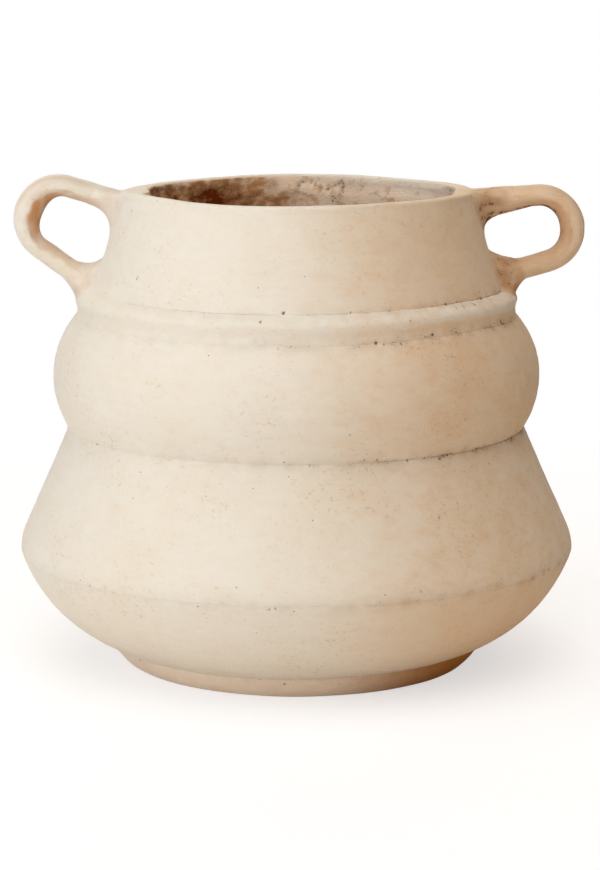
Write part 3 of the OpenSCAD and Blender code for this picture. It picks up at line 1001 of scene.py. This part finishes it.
for hand, (side, *_) in HANDLES.items():
    rings, thin_coat, dirt_and_shade = loop_rings(hand)
    marks = {"recess": dirt_and_shade, "inside": 0.0, "bare": thin_coat}
    piece = skin(hand + "_loop_handle", rings * (side, 1, 1), False, marks)
    place_on_pot(piece, hand + "_handle", "coated_clay")

# %% [markdown]
# ## Smears at the handle ends
# Each end was bedded in soft clay, which was dragged out over the neck and along the leg with a thumb.
# A smear runs in a hollow curve from the wall to one of the handle's own rings, so the two flow into
# each other. Its edges dip just under the surfaces. The smears on the left are smooth, and the right
# lower one is a rough wad.

# %% Smears on the wall
SMEARS = {
    # spread on the wall away from the opening, into it and sideways, length along the leg, in mm,
    # how full the hollow is away from the opening and in it, roughness, and painted shade in the opening
    "left_upper": (5.0, 12.0, 24.0, 14.0, 0.9, 0.0, 0.15, 0.0),
    "left_lower": (9.0, 9.0, 18.0, 14.0, 0.6, 0.5, 0.3, 0.0),
    "right_upper": (5.0, 9.0, 15.0, 17.0, 0.9, -0.6, 0.6, 0.8),
    "right_lower": (12.0, 9.0, 14.0, 14.0, 0.9, 1.0, 0.9, 0.3),
}
FILLET = np.linspace(0, 1, 20)[:, None, None]
BELOW_RIM = 0.7 * MM
SMEAR_SKIN = 0.8
SINK = 0.05


def on_pot(across, height):
    """Points of the even outer face beside a handle on the right, and the way out of the wall there."""
    height = np.minimum(height, rim - BELOW_RIM)
    radius = np.vectorize(pot_radius)(height)
    place = np.stack([np.sqrt(radius ** 2 - across ** 2), across, height], -1)
    out = place * (1, 1, 0) / radius[:, None]
    return place, out


def over_wall(curve, hand):
    """Lifts a smear's points out of the wall, by a skin that is thin at the smear's edge."""
    radius = np.linalg.norm(curve[..., :2], axis=-1)
    wall = np.vectorize(pot_radius)(np.minimum(curve[..., 2], rim - BELOW_RIM))
    skin_depth = MM * (SMEAR_SKIN * smooth(0, 0.5, FILLET[..., 0]) - SINK)
    wall = wall + palm_and_finger_marks(curve * (HANDLES[hand][0], 1, 1)) + skin_depth
    lifted = np.maximum(radius, np.where(radius > wall - 5 * MM, wall, radius))
    return curve * np.stack([lifted / radius, lifted / radius, np.ones_like(radius)], -1)


# %% Smears along the leg
ROOT_ROWS = 60


def root_rings(hand, end):
    """A loop's rings from a root outward, their thin coat, and each line's first ring outside the wall."""
    rings, thin_coat, _ = loop_rings(hand)
    if end == "upper":
        rings, thin_coat = rings[::-1], thin_coat[::-1]
    root = rings[:ROOT_ROWS]
    wall = np.vectorize(pot_radius)(np.minimum(root[..., 2], rim - MM))
    return rings, thin_coat, np.argmax(np.linalg.norm(root[..., :2], axis=2) > wall, axis=0)


def hollow_curve(wall_end, corner, leg_end, fullness):
    """Curve from the wall to the leg, pulled into the corner between them, and less so the fuller it is."""
    pull = (2 / 3 - fullness / 3)[:, None]
    wall_pull = wall_end + pull * (corner - wall_end)
    leg_pull = leg_end + pull * (corner - leg_end)
    rest = 1 - FILLET
    curve = rest ** 3 * wall_end + 3 * rest ** 2 * FILLET * wall_pull
    return curve + 3 * rest * FILLET ** 2 * leg_pull + FILLET ** 3 * leg_end


# %% Smears
UNDER = 1.5 * MM
DIP = 0.35 * MM
HOLLOW_SIZE = (1.8 * MM, 1.8 * MM, 3.2 * MM)


def smear_rings(hand, end):
    """Rings of a smear from under the wall to under the handle, its dirt and painted shade, and how bare it
    is.
    """
    away, into, sideways, length, full_away, full_into, roughness, dirt_and_shade_share = SMEARS[hand + "_" + end]
    rings, thin_coat, start = root_rings(hand, end)
    corner = rings[start, np.arange(rings.shape[1])]
    spacing = np.linalg.norm(rings[1].mean(axis=0) - rings[0].mean(axis=0))
    last = start.max() + round(length * MM / spacing)
    leg_end = rings[last]
    outer_way = -1 if end == "lower" else 1
    way = unit(corner[:, 1:] - corner[:, 1:].mean(axis=0))
    toward = smooth(-0.3, 0.3, -way[:, 1] * outer_way)
    upright = away + toward * (into - away)
    ragged = 1 + 0.2 * lumps(corner, 6 * MM, outer_way)
    spread = MM * ragged * (upright * way[:, 1] ** 2 + sideways * way[:, 0] ** 2)
    edges = []
    for reach in (spread, spread + UNDER):
        edge, wall_out = on_pot(corner[:, 1] + reach * way[:, 0], corner[:, 2] + reach * way[:, 1])
        edges.append(edge + wall_out * palm_and_finger_marks(edge * (HANDLES[hand][0], 1, 1))[:, None])
    curve = hollow_curve(edges[0], corner, leg_end, full_away + toward * (full_into - full_away))
    leg_out = unit(leg_end - leg_end.mean(axis=0))
    facing = unit((1 - FILLET) * wall_out + FILLET * leg_out)
    hollow = np.clip(-lumps(curve, HOLLOW_SIZE, 8.2), 0, 1)
    middle = np.sin(np.pi * FILLET[..., 0])
    wad = roughness * (0.8 * lumps(curve, 7 * MM, 1.3) + 0.3 - 0.9 * hollow)
    curve = over_wall(curve + facing * MM * (wad * middle - SINK)[..., None], hand)
    hidden_edge = [edges[0] - 2 * MM * wall_out, edges[1] - DIP * wall_out]
    hidden_leg = [rings[last + round(UNDER / spacing)] - DIP * leg_out, leg_end - 2 * MM * leg_out]
    hidden_corner = [corner - 3 * MM * (wall_out + leg_out)]
    thumbed = roughness * middle * np.clip(0.7 + 0.6 * lumps(curve, 5 * MM, 2.7), 0, 1)
    # painted shade on the side of the smear that faces into the loop's opening
    painted_opening_shade = dirt_and_shade_share * toward * middle * np.clip(0.4 + lumps(curve, 2.5 * MM, 5.1), 0, 1)
    soiled_and_shaded = thumbed * (0.25 + 1.2 * hollow) + painted_opening_shade
    worn = np.maximum(thumbed, smooth(0.2, 1, FILLET[..., 0]) * thin_coat[last])
    rings = np.concatenate([hidden_edge, curve, hidden_leg, hidden_corner])
    return rings, *(np.pad(mark, ((2, 3), (0, 0)), "edge") for mark in (soiled_and_shaded, worn))


for smear in SMEARS:
    hand, end = smear.split("_")
    rings, soiled_and_shaded, worn = smear_rings(hand, end)
    marks = {"recess": soiled_and_shaded, "inside": 0.0, "bare": worn}
    piece = skin(smear + "_smear", uneven_rim(rings * (HANDLES[hand][0], 1, 1)), True, marks)
    place_on_pot(piece, smear + "_luting", "luting_clay")

# %% [markdown]
# ## Studio
# The pot stands on a pale floor in front of white. A broad, slightly cool lamp on the left is the key.
# Two soft ones above light what faces up, two in front light the face and the foot, and one behind
# keeps the back from going dark. Together they show a colour about as it is written. The camera sees
# the floor fade to white around the pot's shadow, and the pot gets light back from pale paper.

# %% Camera
CAMERA_PLACE = (0.00193, -1.5252, 0.4009)
CAMERA_DOWN = 10.41
CAMERA_LENS = 118.43
camera = bpy.data.objects.new("camera", bpy.data.cameras.new("camera"))
camera.location = CAMERA_PLACE
camera.rotation_euler = (math.radians(90 - CAMERA_DOWN), 0, 0)
camera.data.lens = CAMERA_LENS
bpy.context.scene.collection.objects.link(camera)
bpy.context.scene.camera = camera
print("camera at", CAMERA_PLACE)

# %% Lamps
LAMPS = {
    # turn from the front, angle above the floor, distance, width and height in metres, share, colour;
    # a share of 1 would show a white surface that faces the lamp as white
    "broad_left_key": (-65, 14, 1.8, 1.8, 0.9, 0.42, "#F2F8FF"),
    "soft_top": (-30, 74, 1.8, 2.0, 2.0, 0.53, "#FFFBF5"),
    "right_top": (80, 70, 1.8, 1.6, 1.6, 0.15, "#FFF6EA"),
    "high_front": (5, 45, 2.0, 1.4, 1.2, 0.22, "#FFF6EA"),
    "low_front": (-8, 2, 2.0, 1.4, 0.35, 0.165, "#FFEEDC"),
    "soft_back_fill": (180, 30, 2.0, 1.8, 1.2, 0.4, "#FFF2E4"),
}
POT_MIDDLE = Vector((0, 0, 0.13))
for name, (turn, rise, distance, width, tall, share, colour) in LAMPS.items():
    lamp = bpy.data.objects.new(name, bpy.data.lights.new(name, "AREA"))
    lamp.data.shape = "RECTANGLE"
    lamp.data.size = width
    lamp.data.size_y = tall
    lamp.data.energy = share * math.pi ** 2 * distance ** 2
    lamp.data.color = linear(colour)[:3]
    level = distance * math.cos(math.radians(rise))
    height = distance * math.sin(math.radians(rise))
    lamp.location = POT_MIDDLE + Vector(around(math.radians(turn), level, height))
    lamp.rotation_euler = (POT_MIDDLE - lamp.location).to_track_quat("-Z", "Y").to_euler()
    bpy.context.scene.collection.objects.link(lamp)
print("lamps:", list(LAMPS))

# %% World
WHITE = linear("#FFFFFF")


def seen_directly(tree):
    """One for rays that show the camera a surface, also by mirror or glass, and zero for others."""
    rays = add_node(tree, "ShaderNodeLightPath").outputs
    by_mirror_or_glass = {0: rays["Is Glossy Ray"], 1: rays["Is Transmission Ray"]}
    mirrored = add_node(tree, "ShaderNodeMath", by_mirror_or_glass, operation="MAXIMUM").outputs[0]
    either = add_node(tree, "ShaderNodeMath", {0: rays["Is Camera Ray"], 1: mirrored}, operation="MAXIMUM")
    return either.outputs[0]


world = bpy.data.worlds.new("warm_room")
bpy.context.scene.world = world
world.use_nodes = True
tree = world.node_tree
tree.nodes.clear()
room = add_node(tree, "ShaderNodeBackground", {"Color": linear("#FFC890"), "Strength": 0.03}).outputs[0]
white = add_node(tree, "ShaderNodeBackground", {"Color": WHITE, "Strength": 1.0}).outputs[0]
chosen = add_node(tree, "ShaderNodeMixShader", {0: seen_directly(tree), 1: room, 2: white})
add_node(tree, "ShaderNodeOutputWorld", {0: chosen.outputs[0]})
bpy.context.scene.view_settings.view_transform = "Standard"

# %% Floor
FLOOR_SIZE = 8
FLOOR_FADE = {"From Min": 0.2, "From Max": 0.7}
bpy.ops.mesh.primitive_plane_add(size=FLOOR_SIZE, location=(0, 0, 0))
studio_floor = bpy.context.object
studio_floor.name = "studio_floor"
studio_floor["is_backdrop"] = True
# Matte paper gives no gloss: near the pot it shows the shadow, and further off it is plain white
paper = bpy.data.materials.new("matte_white_paper")
paper.use_nodes = True
tree = paper.node_tree
tree.nodes.clear()
place = add_node(tree, "ShaderNodeTexCoord").outputs["Object"]
away = add_node(tree, "ShaderNodeVectorMath", {0: place}, operation="LENGTH").outputs["Value"]
fade = add_node(tree, "ShaderNodeMapRange", {"Value": away, **FLOOR_FADE}, interpolation_type="SMOOTHSTEP")
shadowed = add_node(tree, "ShaderNodeBsdfDiffuse", {"Color": linear("#B8B8BA")}).outputs[0]
glow = add_node(tree, "ShaderNodeEmission", {"Color": WHITE, "Strength": 0.62}).outputs[0]
near = add_node(tree, "ShaderNodeAddShader", {0: shadowed, 1: glow}).outputs[0]
clear = add_node(tree, "ShaderNodeEmission", {"Color": WHITE, "Strength": 1.0}).outputs[0]
shown = add_node(tree, "ShaderNodeMixShader", {0: fade.outputs[0], 1: near, 2: clear}).outputs[0]
bounced = add_node(tree, "ShaderNodeBsdfDiffuse", {"Color": linear("#FAF7F2")}).outputs[0]
floor_shader = add_node(tree, "ShaderNodeMixShader", {0: seen_directly(tree), 1: bounced, 2: shown})
add_node(tree, "ShaderNodeOutputMaterial", {0: floor_shader.outputs[0]})
studio_floor.data.materials.append(paper)
print("world and floor:", world.name, paper.name)

# %% [markdown]
# ## Sizes
# Both boxes are printed: the solids' at the start and the dressed pot's here. The
# dressed pot may not be larger than the solids.

# %% Finish
low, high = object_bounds()
print("visual box in mm:", [round(v / MM, 1) for v in high - low])
